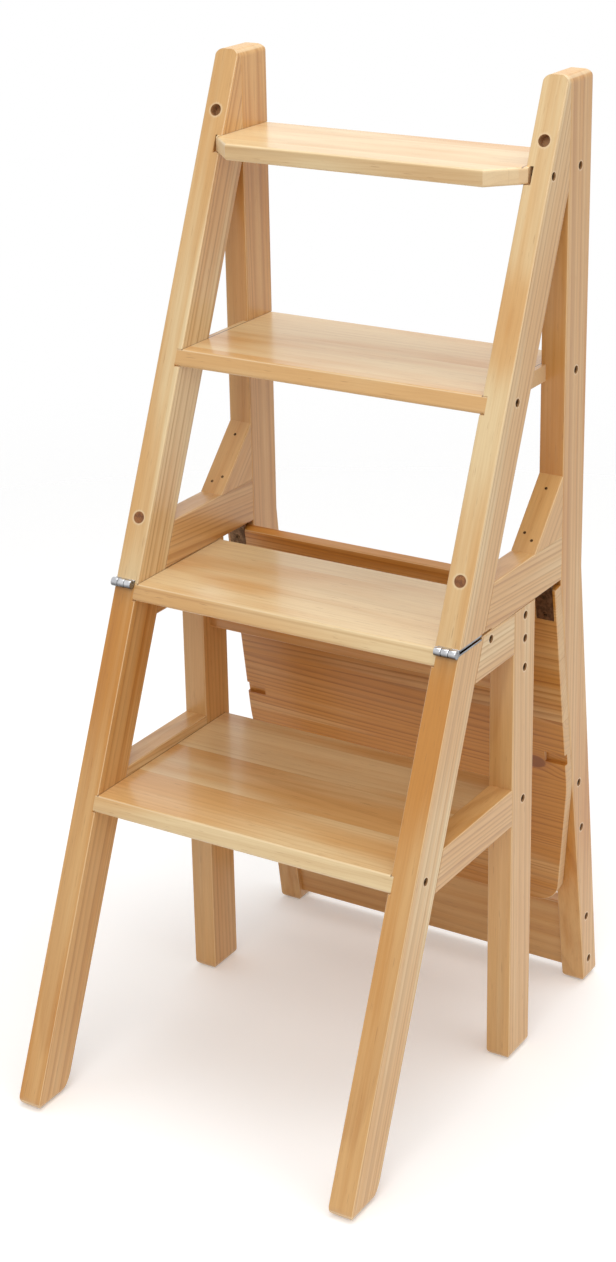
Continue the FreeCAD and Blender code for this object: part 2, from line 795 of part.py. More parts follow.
for side in SIDES:
    # Front post: goes on along the front legs' slope and dies away against the long post
    post = plate(
        f"front_post_{side}_blank",
        [
            ("0", "hinge_level"),
            ("front_slope * hinge_level", "total_height"),
            ("long_post_front", "total_height"),
            ("long_post_front", "hinge_level + (long_post_front - front_leg_depth) / front_slope"),
            ("front_leg_depth", "hinge_level"),
        ],
        "wood_thickness",
    )
    round_edges(
        post, f"front_post_{side}_edges", "edge_round",
        lambda first, last: not is_across(first, last) and not is_upright_end(first, last)
        and not is_level(first, last, size("hinge_level")),
    )
    put(post, x=to_side(side, "inner_face", "half_width"))
    tools = group(f"front_post_{side}_tools", [
        dado(f"front_post_{side}_middle_dado", side, "middle_dado_depth", "middle_step_bottom"),
        dado(f"front_post_{side}_top_dado", side, "top_dado_depth", "top_step_bottom"),
        front_mortise(f"front_post_{side}_mortise", side, "hinge_level", "front_mortise_spare"),
    ])
    grooved = cut(f"front_post_{side}_grooved", post, tools)
    bored = cut(f"front_post_{side}_bored", grooved, upper_holes)
    drilled = cut(f"front_post_{side}_drilled", bored, upper_leaf_holes)
    envelope = rounded_envelope(f"front_post_{side}_envelope", side, "hinge_level", "hinge_level", "top")
    finish(common(f"front_post_{side}", drilled, envelope), f"front_post_{side}")

    # Long post: one plank cut with a bend at the hinge level, from the top down to the floor
    post = plate(
        f"long_post_{side}_blank",
        [
            ("long_foot_front", "0"),
            ("long_foot_back", "0"),
            ("long_post_back", "hinge_level"),
            ("long_post_back", "total_height"),
            ("long_post_front", "total_height"),
            ("long_post_front", "hinge_level"),
        ],
        "wood_thickness",
    )
    round_edges(
        post, f"long_post_{side}_ends", "end_round",
        lambda first, last: is_across(first, last)
        and (is_level(first, last, 0)
             or (is_level(first, last, size("total_height")) and first.y > size("long_post_front") + 1)),
    )
    round_edges(
        post, f"long_post_{side}_edges", "edge_round",
        lambda first, last: not is_across(first, last) and abs(first.z - last.z) > 50,
    )
    put(post, x=to_side(side, "inner_face", "half_width"))
    tools = group(f"long_post_{side}_tools", [
        dado(f"long_post_{side}_middle_dado", side, "middle_dado_depth", "middle_step_bottom"),
        dado(f"long_post_{side}_top_dado", side, "top_dado_depth", "top_step_bottom"),
    ])
    grooved = cut(f"long_post_{side}_grooved", post, tools)
    bored = cut(f"long_post_{side}_bored", grooved, upper_holes)
    envelope = rounded_envelope(f"long_post_{side}_envelope", side, "0", "total_height", "both")
    finish(common(f"long_post_{side}", bored, envelope), f"long_post_{side}")

    # Upper rail, lying on the lower one, with recesses for both hinges in its underside
    name = f"upper_rail_{side}"
    rail = plate(
        name + "_blank",
        [
            ("front_leg_depth", "hinge_level"),
            ("long_post_front", "hinge_level"),
            ("long_post_front", "upper_rail_top"),
            ("front_leg_depth + front_slope * upper_rail_height", "upper_rail_top"),
        ],
        "wood_thickness",
    )
    round_edges(
        rail, name + "_edges", "edge_round",
        lambda first, last: not is_across(first, last) and abs(first.z - last.z) < 0.01,
    )
    put(rail, x=to_side(side, "inner_face", "half_width"))
    leaf_recess = box(
        name + "_leaf_recess",
        (
            to_side(side, "member_middle - seat_leaf_width / 2 - hinge_gap",
                    "member_middle + seat_leaf_width / 2 + hinge_gap"),
            "seat_pin_back - seat_leaf_reach - hinge_gap",
            "hinge_level - 1",
        ),
        (
            "seat_leaf_width + 2 * hinge_gap",
            "seat_leaf_reach + seat_knuckle_radius + 2 * hinge_gap",
            "seat_leaf_thickness + 1",
        ),
    )
    recesses = group(name + "_recesses", [
        leaf_recess, front_mortise(name + "_front_mortise", side, "hinge_level", "front_mortise_spare"),
    ])
    grooved = cut(name + "_grooved", rail, recesses)
    bored = cut(name + "_bored", grooved, upper_holes)
    finish(cut(name, bored, rail_leaf_holes), name)

    # Gusset in the corner of the rail and the long post
    name = f"gusset_{side}"
    gusset = plate(
        name + "_blank",
        [
            ("long_post_front - gusset_run", "upper_rail_top"),
            ("long_post_front", "upper_rail_top"),
            ("long_post_front", "upper_rail_top + gusset_rise"),
        ],
        "wood_thickness",
    )
    round_edges(
        gusset, name + "_edges", "edge_round",
        lambda first, last: not is_across(first, last)
        and abs(first.z - last.z) > 1 and abs(first.y - last.y) > 1,
    )
    put(gusset, x=to_side(side, "inner_face", "half_width"))
    finish(cut(name, gusset, upper_holes), name)

# Middle step: as wide as the grooves in both pairs of posts let it be
step = plate(
    "middle_step_blank",
    [
        ("front_slope * (middle_step_bottom - hinge_level)", "middle_step_bottom"),
        ("upper_steps_back", "middle_step_bottom"),
        ("upper_steps_back", "middle_step_top"),
        ("front_slope * (middle_step_top - hinge_level)", "middle_step_top"),
    ],
    "2 * (inner_face + middle_dado_depth)", centred=True,
)
round_edges(step, "middle_step_edges", "step_edge_round", is_across)
finish(cut("middle_step", step, upper_holes), "middle_step")

# Top step: its nose stands out between the posts, with the corners cut off so that it fits
# between the front legs when the halves are folded together
top_step_end = "inner_face + top_dado_depth - top_step_end_gap"
step = plate(
    "top_step_blank",
    [
        (f"-({top_step_end})", "upper_steps_back"),
        (f"-({top_step_end})", "top_step_front + nose_corner"),
        (f"-({top_step_end} - nose_corner)", "top_step_front"),
        (f"{top_step_end} - nose_corner", "top_step_front"),
        (top_step_end, "top_step_front + nose_corner"),
        (top_step_end, "upper_steps_back"),
    ],
    "step_thickness", "XY_Plane",
)
round_edges(
    step, "top_step_edges", "step_edge_round",
    lambda first, last: is_across(first, last) and abs(first.z - last.z) < 0.01,
)
put(step, z="top_step_bottom")
finish(cut("top_step", step, upper_holes), "top_step")

# Backrest slats, parallel to the splayed front faces of the long posts
for name, height in (("high_slat", "high_slat_height"), ("low_slat", "low_slat_height")):
    along = f"-(hinge_level - {height}) / cos(splay_angle)"
    slat = plate(
        name + "_blank",
        [
            ("slat_setback", f"{along} - slat_width / 2"),
            ("slat_setback + slat_thickness", f"{along} - slat_width / 2"),
            ("slat_setback + slat_thickness", f"{along} + slat_width / 2"),
            ("slat_setback", f"{along} + slat_width / 2"),
        ],
        "2 * inner_face", centred=True,
    )
    round_edges(slat, name + "_edges", "step_edge_round", is_across)
    put(slat, y="long_post_front", z="hinge_level", turn="splay_angle")
    finish(cut(name, slat, upper_holes), name)

finish(copies("upper_frame_screws", screw_master, upper_screw_spots), "upper_frame_screws")
finish(copies("post_screws", post_screw_master, post_screw_spots), "post_screws")
finish(copies("post_plugs", plug_master, front_face_spots([post_screw_levels["rail"]], 0)), "post_plugs")
finish(copies("upper_frame_dowels", dowel_master, upper_dowel_spots), "upper_frame_dowels")
finish(copies("gusset_nails", nail_master, nail_spots), "gusset_nails")


# Seat board, drawn hanging straight down from its pin and then turned to lie against the posts

half_front = "half_width - seat_taper"
board = plate(
    "seat_board_blank",
    [
        ("-half_width", "-seat_edge_from_pin"),
        ("-half_width", "-seat_taper_start"),
        (f"-({half_front})", "-seat_reach"),
        (half_front, "-seat_reach"),
        ("half_width", "-seat_taper_start"),
        ("half_width", "-seat_edge_from_pin"),
    ],
    "seat_thickness", "XZ_Plane",
)
for name, radius, alias in (
    ("corners", "seat_corner_round", "seat_reach"), ("waist", "seat_waist_round", "seat_taper_start"),
):
    level = -size(alias)
    round_edges(
        board, f"seat_board_{name}", radius,
        lambda first, last: abs(first.y - last.y) > 1 and is_level(first, last, level),
    )
round_edges(
    board, "seat_board_edges", "edge_round",
    lambda first, last: abs(first.y - last.y) < 0.01,
)
put(board, y="seat_thickness - seat_pin_in_board")
board_cuts = []
for side in SIDES:
    board_cuts.append(box(
        f"seat_board_leaf_recess_{side}",
        (
            to_side(side, "member_middle - seat_leaf_width / 2 - hinge_gap",
                    "member_middle + seat_leaf_width / 2 + hinge_gap"),
            "-seat_pin_in_board - 1",
            "-seat_leaf_reach - hinge_gap",
        ),
        (
            "seat_leaf_width + 2 * hinge_gap",
            "seat_leaf_thickness + 1",
            "seat_leaf_reach + hinge_gap",
        ),
    ))
    # Pocket in the edge that takes the front hinge's knuckles when the board lies on the rails
    board_cuts.append(box(
        f"seat_board_knuckle_recess_{side}",
        (
            to_side(side, "half_width - front_leaf_width - hinge_gap", "half_width + 1"),
            "-seat_pin_in_board - 1",
            "-seat_recess_from_pin - front_knuckle_radius - recess_clearance",
        ),
        (
            "front_leaf_width + hinge_gap + 1",
            "front_knuckle_radius - seat_fold_gap + recess_clearance / 2 + 1",
            "2 * (front_knuckle_radius + recess_clearance)",
        ),
    ))
grooved = cut("seat_board_grooved", board, group("seat_board_cuts", board_cuts))
seat_place = {"y": "seat_pin_back - depth_middle", "z": "seat_pin_level", "turn": "splay_angle"}
finish(cut("seat_board", grooved, board_leaf_holes), "seat_board", **seat_place)
finish(copies("board_leaf_screws", leaf_screw_master, board_leaf_spots), "board_leaf_screws", **seat_place)


# Hinge leaves, pins and leaf screws

front_place = {"y": "-front_pin_ahead - depth_middle", "z": "hinge_level"}
rail_place = {"y": "seat_pin_back - depth_middle", "z": "seat_pin_level"}
front_leaf = ("front", "front_leaf_width", "front_leaf_offset")
rail_leaf = ("seat", "seat_leaf_width", "seat_pin_below_rail")
board_leaf = ("seat", "seat_leaf_width", "board_leaf_offset")
for side in SIDES:
    front_middle = at_side(side, "front_leaf_middle")
    seat_middle = at_side(side, "member_middle")
    hinge_leaf(f"front_hinge_lower_leaf_{side}", *front_leaf, (0, 2), front_middle, FACE_UP, **front_place)
    hinge_leaf(f"front_hinge_upper_leaf_{side}", *front_leaf, (1,), front_middle, FACE_DOWN, **front_place)
    hinge_leaf(
        f"seat_hinge_rail_leaf_{side}", *rail_leaf, (1,), seat_middle, FACE_DOWN_FORWARD, **rail_place)
    hinge_leaf(
        f"seat_hinge_board_leaf_{side}", *board_leaf, (0, 2), seat_middle, FACE_FORWARD_HANGING,
        **seat_place)
    for kind, middle, place in (("front", front_middle, front_place), ("seat", seat_middle, rail_place)):
        width = f"{kind}_leaf_width"
        pin = cylinder_along_x(f"{kind}_hinge_pin_{side}", ("0", "0", "0"), f"{kind}_pin_radius", width)
        finish(pin, f"{kind}_hinge_pin_{side}", x=f"{middle} - {width} / 2", **place)
finish(copies("lower_leaf_screws", leaf_screw_master, lower_leaf_spots), "lower_leaf_screws")
finish(copies("upper_leaf_screws", leaf_screw_master, upper_leaf_spots), "upper_leaf_screws")
finish(copies("rail_leaf_screws", leaf_screw_master, rail_leaf_spots), "rail_leaf_screws")


# Check everything, then write one file for each piece

document.recompute()
for item in document.Objects:
    if "Invalid" in item.State or "Error" in item.State:
        raise RuntimeError(f"{item.Label} failed: {item.State}")
for label, item in nodes.items():
    if item.Shape.isNull() or not item.Shape.isValid():
        raise RuntimeError(f"{label} has no valid shape")

os.makedirs("parts", exist_ok=True)
for label, item in nodes.items():
    item.Shape.exportStep(f"parts/{label}.step")
whole = Part.makeCompound([item.Shape for item in nodes.values()]).optimalBoundingBox(False)
print(f"{len(nodes)} nodes, {whole.XLength:.1f} x {whole.YLength:.1f} x {whole.ZLength:.1f} mm")
print(f"lowest corner {whole.XMin:.2f}, {whole.YMin:.2f}, {whole.ZMin:.2f}")
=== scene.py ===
import math

import bmesh
import bpy
from mathutils import Matrix, Vector


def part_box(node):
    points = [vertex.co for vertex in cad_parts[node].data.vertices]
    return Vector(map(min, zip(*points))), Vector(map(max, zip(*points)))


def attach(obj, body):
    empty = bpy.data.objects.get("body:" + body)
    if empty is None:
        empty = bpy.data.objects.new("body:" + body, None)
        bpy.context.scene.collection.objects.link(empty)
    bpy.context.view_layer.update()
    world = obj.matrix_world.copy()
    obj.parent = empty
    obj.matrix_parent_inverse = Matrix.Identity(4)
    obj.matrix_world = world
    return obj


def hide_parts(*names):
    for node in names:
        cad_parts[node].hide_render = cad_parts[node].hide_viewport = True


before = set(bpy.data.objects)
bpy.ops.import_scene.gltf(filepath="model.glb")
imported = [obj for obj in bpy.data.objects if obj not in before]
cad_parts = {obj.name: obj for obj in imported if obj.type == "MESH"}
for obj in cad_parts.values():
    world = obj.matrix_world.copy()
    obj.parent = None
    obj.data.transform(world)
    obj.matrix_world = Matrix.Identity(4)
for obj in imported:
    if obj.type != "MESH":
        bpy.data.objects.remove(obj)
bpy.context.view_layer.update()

# Front legs of the lower half: planed pine under clear satin lacquer, sawn with the growth rings
# lying along the front, so that the front shows soft figure and the sides show stripes. Their edges
# are eased, and each has a countersunk screw from the side into the lower rail.

UP = Vector((0, 0, 1))
RIGHT = Vector((1, 0, 0))
FRONT = Vector((0, -1, 0))
FRONT_SLOPE = 0.42
LEG_GRAIN = Vector((0, FRONT_SLOPE, 1)).normalized()
LEG_FRONT = Vector((0, -1, FRONT_SLOPE)).normalized()
SIDES = {"left": -1, "right": 1}


def paint(red, green, blue):
    """A colour as seen, 0 to 255, in the linear numbers that a shader takes."""
    seen = [level / 255 for level in (red, green, blue)]
    linear = [v / 12.92 if v <= 0.04045 else ((v + 0.055) / 1.055) ** 2.4 for v in seen]
    return (*linear, 1)


# The Mix node has sockets for several kinds of value under the same names; these are for colours
MIX_SHARE, MIX_FIRST, MIX_SECOND, MIX_RESULT = 0, 6, 7, 2


class Shade:
    """A value, colour or place in a finish; arithmetic on shades adds the nodes that work it out."""

    def __init__(self, socket):
        self.socket = socket

    def node(self, kind, settings=None, sockets=None, output=0):
        """One more node: its settings first, then the value or link of each socket."""
        made = self.socket.id_data.nodes.new("ShaderNode" + kind)
        for name, setting in (settings or {}).items():
            setattr(made, name, setting)
        for name, value in (sockets or {}).items():
            if isinstance(value, Shade):
                self.socket.id_data.links.new(value.socket, made.inputs[name])
            else:
                made.inputs[name].default_value = value
        return Shade(made.outputs[output])

    def maths(self, operation, *others):
        return self.node("Math", {"operation": operation}, dict(enumerate((self, *others))))

    def vector(self, operation, *others):
        return self.node("VectorMath", {"operation": operation}, dict(enumerate((self, *others))))

    def along(self, direction):
        """How far this place or direction reaches along another direction."""
        return self.node("VectorMath", {"operation": "DOT_PRODUCT"}, {0: self, 1: direction}, "Value")

    def length(self):
        return self.node("VectorMath", {"operation": "LENGTH"}, {0: self}, "Value")

    def __add__(self, other):
        return self.maths("ADD", other)

    def __sub__(self, other):
        return self.maths("SUBTRACT", other)

    def __rsub__(self, other):
        return self.node("Math", {"operation": "SUBTRACT"}, {0: other, 1: self})

    def __mul__(self, other):
        return self.maths("MULTIPLY", other)

    def __truediv__(self, other):
        return self.maths("DIVIDE", other)

    __radd__ = __add__
    __rmul__ = __mul__

    def ease(self, low, high, least=0, most=1):
        """Goes smoothly from least to most as the value goes from low to high."""
        sockets = {"Value": self, "From Min": low, "From Max": high, "To Min": least, "To Max": most}
        return self.node("MapRange", {"interpolation_type": "SMOOTHSTEP"}, sockets)

    def noise(self, spans, detail=2.0, roughness=0.5, output="Fac"):
        """Cloudy noise at this place, with clouds of about these spans in metres."""
        scaled = self.vector("MULTIPLY", [1 / span for span in spans])
        sockets = {"Vector": scaled, "Scale": 1, "Detail": detail, "Roughness": roughness}
        return scaled.node("TexNoise", {}, sockets, output)

    def lot(self, output="Value"):
        """A random value or colour for each whole number of this value."""
        whole = self.maths("FLOOR")
        return whole.node("TexWhiteNoise", {"noise_dimensions": "1D"}, {"W": whole}, output)

    def blend(self, first, second):
        """This value mixes the second colour into the first."""
        sockets = {MIX_SHARE: self, MIX_FIRST: first, MIX_SECOND: second}
        return self.node("Mix", {"data_type": "RGBA"}, sockets, MIX_RESULT)


def begin_finish(name):
    """A new material with its surface shader, and the shades for where and which way a point is."""
    material = bpy.data.materials.new(name)
    material.use_nodes = True
    reader = material.node_tree.nodes.new("ShaderNodeTexCoord")
    surface = material.node_tree.nodes["Principled BSDF"]
    return material, surface, Shade(reader.outputs["Object"]), Shade(reader.outputs["Normal"])


def feed(surface, **shades):
    """Gives the surface shader its values and links, underscores standing for spaces."""
    for name, value in shades.items():
        socket = surface.inputs[name.replace("_", " ")]
        if isinstance(value, Shade):
            surface.id_data.links.new(value.socket, socket)
        else:
            socket.default_value = value


def surface_relief(height, strength=0.25, distance=0.0003):
    return height.node("Bump", {}, {"Strength": strength, "Distance": distance, "Height": height})


def dress(node, material):
    """Puts a finish on every face of a piece from the frame."""
    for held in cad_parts[node].material_slots:
        held.material = material


def middle_of(node):
    low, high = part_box(node)
    return (low + high) / 2


SAME_CORNER = 1e-5


def loose_parts(node):
    """The corners of each loose part of a piece from the frame, such as one screw of a set."""
    held = bmesh.new()
    held.from_mesh(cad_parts[node].data)
    bmesh.ops.remove_doubles(held, verts=held.verts, dist=SAME_CORNER)
    reached = set()
    for start in held.verts:
        if start in reached:
            continue
        reached.add(start)
        part = [start]
        for corner in part:
            for edge in corner.link_edges:
                beyond = edge.other_vert(corner)
                if beyond not in reached:
                    reached.add(beyond)
                    part.append(beyond)
        yield [corner.co.copy() for corner in part]
    held.free()


SCREW_HEAD_RADIUS = 0.0036
SCREW_HOLE_DEPTH = 0.005
HEAD_FLATNESS = 1e-4


def screw_mouths(screws, piece, inward):
    """Middle, direction, radius and depth of each hole of these screws that starts in a piece."""
    low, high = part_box(piece)
    found = []
    for part in loose_parts(screws):
        top = min(part, key=inward.dot)
        head = [corner for corner in part if (corner - top).dot(inward) < HEAD_FLATNESS]
        middle = sum(head, Vector()) / len(head)
        if all(low[axis] < middle[axis] < high[axis] for axis in range(3)):
            found.append((middle, inward, SCREW_HEAD_RADIUS, SCREW_HOLE_DEPTH))
    return found


def hole_reach(place, holes):
    """Distance from the nearest hole, in its radii, as far as its mouth goes."""
    nearest = None
    for middle, inward, radius, depth in holes:
        aside = place.vector("SUBTRACT", middle)
        across = aside.vector("CROSS_PRODUCT", inward / radius).length()
        reach = across.maths("MAXIMUM", aside.along(inward / depth).maths("ABSOLUTE"))
        nearest = nearest.maths("MINIMUM", reach) if nearest else reach
    return nearest


# How far apart along the log the pieces are cut, and the middle of a noise from 0 to 1
LOG_STEP = 3.1
CENTRE = (0.5, 0.5, 0.5)


def place_in_log(place, middle, grain, bark_side, pith, lean, seed):
    """A point's place in the log: away from its pith line, across, and along it."""
    pith_line = (grain + lean * bark_side).normalized()
    outward = (bark_side - bark_side.dot(pith_line) * pith_line).normalized()
    turn = Matrix((outward, pith_line.cross(outward), pith_line))
    start = Vector((pith, 0, LOG_STEP * seed)) - turn @ middle
    sockets = {"Vector": place, "Location": start, "Rotation": turn.to_euler()}
    return place.node("Mapping", {}, sockets)


# Strips of a glued-up board: where the first begins, how far off in the log each is from, and the
# width of the glue line
FIRST_STRIP = 7.3
STRIP_SHIFTS = (0.06, 0.09, 9.0)
GLUE_WIDTH = 0.0006


def glued_strips(board, reach, width, seed):
    """The board as strips from different places of the log, their tones, and their glue lines."""
    strips = (reach + (FIRST_STRIP + 0.01 * seed)) / width
    lots = (strips + 31.7 * seed).lot("Color")
    tone = lots.node("SeparateColor", {}, {0: lots}, "Green") - 0.5
    shifts = lots.vector("SUBTRACT", CENTRE).vector("MULTIPLY", STRIP_SHIFTS)
    glue = (strips.maths("FRACT") - 0.5).maths("ABSOLUTE").ease(0.5 - GLUE_WIDTH / width, 0.5)
    return board.vector("ADD", shifts), tone, glue


# Good and bad years: how wide a run of them is in metres, and how many rings it adds
YEARS_SPAN = 0.02
YEARS_SWING = 2.4


def late_wood(swayed, ring, seed):
    """Share of late wood: it rises through each year's ring and stops sharply at the ring's end."""
    radius = swayed.vector("MULTIPLY", (1, 1, 0)).length()
    sockets = {"W": radius / YEARS_SPAN + 5.7 * seed, "Scale": 1, "Detail": 1}
    years = radius.node("TexNoise", {"noise_dimensions": "1D"}, sockets)
    rings = radius / ring + years * YEARS_SWING
    share = rings.maths("FRACT")
    late = share.ease(0.35, 0.9) * share.ease(0.9, 1.0, 1, 0.1)
    return late * rings.lot().ease(0, 1, 0.35, 1)


# Pine under lacquer: early wood from pale to amber, and how much of each light late wood keeps
PALE = paint(233, 206, 158)
HONEY = paint(218, 171, 110)
AMBER = paint(200, 136, 58)
LATE = (0.62, 0.46, 0.29)
END = paint(224, 192, 150)
# Painted highlight: a pale colour laid along the eased edges, where light would catch them
EDGE_HIGHLIGHT = paint(240, 216, 174)
PORE = paint(150, 96, 50)
# Inside the screw holes: the brown of their bare walls, darkened as painted shade
BORE_SHADE = paint(166, 116, 68)
CHIPPED = paint(234, 208, 168)
# Painted shadow in the seam where a step goes into its groove
SEAM_SHADOW = paint(104, 66, 38)
KNOT_RIM = paint(178, 112, 58)
KNOT_CORE = paint(140, 82, 36)

# Spans in metres of what varies in the wood, across the log twice and along it
SWAY_SPANS = (0.05, 0.05, 0.45)
SWAY_DEPTH = (0.01, 0.01, 0)
FIBRE_SPANS = (0.0013, 0.0013, 0.05)
PORE_SPANS = (0.0011, 0.0011, 0.02)
CLOUD_SPANS = (0.07, 0.07, 0.3)

# How squarely a face has to look one way to count as that face, from not at all to wholly
FACE_TURN = (0.7, 0.95)
END_TURN = (0.8, 0.95)
EDGE_TURN = (0.78, 0.9)

STREAK_WARMTH = 0.9
CLOUD_WARMTH = 1.1
STRIP_WARMTH = 0.3
KNOT_BULGE = 0.009
SEAM_SHADOW_WIDTH = (0.0004, 0.0009)
LACQUER_ROUGHNESS = 0.3
GLAZE_ROUGHNESS = 0.16
GLAZE_IOR = 1.5


def pine(name, middle, grain, bark, pith=0.07, turned=20, ring=0.006, lean=0.012, seed=0,
         warmth=0.35, face_warmth=0.05, lines=0.5, quiet=0.5, streaks=(0.011, 0.011, 0.9),
         stave=0.0, patches=(), holes=(), seam=None, knot=None, glaze=0.25):
    """Lacquered pine with its growth rings about a pith line that runs along the grain.

    The pith lies a distance under the middle of the piece, away from the bark side, which is turned
    about the grain by some degrees; it leans towards the bark by a slope. Lines is the strength of
    the late wood, quiet how much of it is lost on the bark face. Each patch is a place, its half
    sizes, how much warmer it is and the share of that on the other faces. A stave is the width of
    each strip of a glued-up board, a seam the distance from the middle at which the ends go into
    their grooves, along which a line of painted shadow is drawn, a knot its place and half sizes.
    Eased edges get a painted highlight, and holes painted shade inside them.
    """
    material, surface, place, facing = begin_finish(name)
    across = grain.cross(bark)
    bark_side = Matrix.Rotation(math.radians(turned), 3, grain) @ bark
    board = place_in_log(place, middle, grain, bark_side, pith, lean, seed)
    if stave:
        board, strip_tone, glue = glued_strips(board, place.along(across), stave, seed)
    sway = board.noise(SWAY_SPANS, 2.0, 0.45, "Color").vector("SUBTRACT", CENTRE)
    swayed = board.vector("ADD", sway.vector("MULTIPLY", SWAY_DEPTH))
    if knot:
        from_knot = place.vector("SUBTRACT", knot[0]).vector("DIVIDE", knot[1])
        knot_reach = from_knot.length()
        bulge = knot_reach.ease(0.6, 3.2, KNOT_BULGE, 0)
        swayed = swayed.vector("ADD", bulge.node("CombineXYZ", {}, {"X": bulge}))
    on_face, on_side, on_end = [facing.along(axis).maths("ABSOLUTE") for axis in (bark, across, grain)]
    late = late_wood(swayed, ring, seed) * lines * on_face.ease(*FACE_TURN, 1, 1 - quiet)
    streak = board.noise(streaks, 2.5)
    fibre = board.noise(FIBRE_SPANS, 3.0, 0.6)
    pore = board.noise(PORE_SPANS, 1.0).ease(0.68, 0.78)
    cloud = board.noise(CLOUD_SPANS, 2.0)
    end = on_end.ease(*END_TURN)
    edge = on_face.maths("MAXIMUM", on_side).maths("MAXIMUM", on_end).ease(*EDGE_TURN, 1, 0)

    warm = streak * STREAK_WARMTH + cloud * CLOUD_WARMTH + on_face * face_warmth + (warmth - 1.0)
    for spot, half_sizes, amount, on_sides in patches:
        reach = place.vector("SUBTRACT", spot).vector("DIVIDE", half_sizes).length() + streak * 0.8
        shown = on_face.ease(*FACE_TURN, on_sides, 1) if on_sides < 1 else 1
        warm = warm + reach.ease(0.4, 1.5, amount, 0) * shown
    if stave:
        warm = warm + strip_tone * STRIP_WARMTH
    colour = warm.ease(0, 0.5).blend(PALE, HONEY)
    colour = warm.ease(0.5, 1.0).blend(colour, AMBER)
    darker = colour.vector("MULTIPLY", LATE)
    colour = (late + fibre.ease(0.36, 0.7) * 0.17).blend(colour, darker)
    colour = (pore * 0.4).blend(colour, PORE)
    colour = (end * 0.65).blend(colour, END)
    if stave:
        colour = (glue * 0.4).blend(colour, darker)
    if knot:
        rim = knot_reach + fibre * 0.25
        colour = rim.ease(1.0, 1.7, 0.5, 0).blend(colour, KNOT_RIM)
        core = (from_knot.length() * 2.6 + sway.length() * 2).maths("SINE") * 0.15 + 0.85
        colour = (rim.ease(0.9, 1.1, 1, 0) * core).blend(colour, KNOT_CORE)
    # Painted highlight along the eased edges, where a face turns between the main faces
    colour = (edge * 0.5).blend(colour, EDGE_HIGHLIGHT)
    # A line of painted shadow along the seam, on the step's top and bottom faces
    if seam:
        off_seam = (place.along(RIGHT).maths("ABSOLUTE") - seam).maths("ABSOLUTE")
        on_top = on_face.ease(0.5, 0.8, 0, 0.85)
        colour = (off_seam.ease(*SEAM_SHADOW_WIDTH, 1, 0) * on_top).blend(colour, SEAM_SHADOW)
    if holes:
        reach = hole_reach(place, holes)
        ragged = reach + fibre * 0.5
        colour = ragged.ease(1.35, 1.75, 0.6, 0).blend(colour, CHIPPED)
        # Painted shade inside each hole, over the brown of its bare wall
        colour = reach.ease(1.0, 1.1, 0.85, 0).blend(colour, BORE_SHADE)
    feed(
        surface, Base_Color=colour, Roughness=end * 0.2 + fibre * 0.12 + LACQUER_ROUGHNESS,
        Coat_Weight=glaze - end * (glaze * 0.7), Coat_Roughness=GLAZE_ROUGHNESS, Coat_IOR=GLAZE_IOR,
        Normal=surface_relief(fibre * 0.7 - late * 0.3),
    )
    return material


# The legs' upper ends are amber heartwood: how much warmer, and the share of it on their sides
AMBER_SHARE = {"left": (0.25, 0.3), "right": (0.55, 0)}
LEG_WARMTH = {"left": 0.55, "right": 0.45}
for side, sign in SIDES.items():
    node = f"front_leg_{side}"
    amber_top = ((sign * 0.164, -0.06, 0.36), (0.08, 0.09, 0.13), *AMBER_SHARE[side])
    dress(node, pine(
        node, middle_of(node), LEG_GRAIN, LEG_FRONT, seed=3 + sign, turned=8 * sign, pith=0.09,
        warmth=LEG_WARMTH[side], face_warmth=0.2, patches=[amber_top],
        holes=screw_mouths("lower_frame_screws", node, -sign * RIGHT)))

# Rear legs: plain upright bars of the same pine, each with three screws from the side into the apron
# and the hinge-level step, and one into the lower step.

for side, sign in SIDES.items():
    node = f"rear_leg_{side}"
    dress(node, pine(
        node, middle_of(node), UP, FRONT, pith=0.06, seed=6 + sign, turned=10, warmth=0.5,
        holes=screw_mouths("lower_frame_screws", node, -sign * RIGHT)))

# Rails between the front and rear legs, two on each side, glued and dowelled at both ends. Their
# figure runs out in long stripes.

for side, sign in SIDES.items():
    for number, level in enumerate(("top", "bottom")):
        node = f"lower_{level}_rail_{side}"
        dress(node, pine(
            node, middle_of(node), FRONT, UP, pith=0.04, ring=0.005, seed=10 + 2 * number + sign,
            lean=0.05, turned=15, warmth=0.42, lines=0.7,
            holes=screw_mouths("lower_frame_screws", node, -sign * RIGHT)))

# Steps of both halves: boards glued up from strips, with their top edges well rounded, let into
# grooves in the legs and posts. At each end a line of painted shadow marks the seam.

GROOVE_FACE = 0.152
STRIP_WIDTH = 0.062
STEP_STREAKS = (0.03, 0.03, 0.25)
HEARTWOOD_PATCH = ((-0.07, -0.01, 0.45), (0.07, 0.02, 0.03), 0.45, 0)
HONEY_CORNER = ((-0.14, 0.08, 0.648), (0.05, 0.06, 0.03), 0.05, 0)
# The upper three steps have tops paler than their edges: partly painted light and glare, partly wood
# tone
STEP_LOOKS = {
    "lower_step": {"warmth": 0.12, "face_warmth": 0.15, "lines": 0.4},
    "hinge_level_step": {
        "warmth": 0.42, "face_warmth": -0.28, "lines": 0.25, "patches": [HEARTWOOD_PATCH]},
    "middle_step": {"warmth": 0.52, "face_warmth": -0.2, "lines": 0.3, "patches": [HONEY_CORNER]},
    "top_step": {"warmth": 0.4, "face_warmth": -0.15, "lines": 0.3},
}
for number, (node, looks) in enumerate(STEP_LOOKS.items()):
    dress(node, pine(
        node, middle_of(node), RIGHT, UP, pith=0.05, ring=0.006, seed=20 + number, lean=0.02,
        turned=0, streaks=STEP_STREAKS, stave=STRIP_WIDTH, seam=GROOVE_FACE, glaze=0.4, quiet=0.4,
        **looks))

# Apron: a pine rail on edge under the hinge-level step, screwed between the rear legs through
# their sides.

dress("rear_apron", pine(
    "rear_apron", middle_of("rear_apron"), RIGHT, FRONT, seed=30, turned=35, warmth=0.6))

# Front posts of the upper half: the same stock as the front legs, and in line with them. Each is
# screwed from the front twice, deep down: the lower hole is plugged, the upper one is left open.

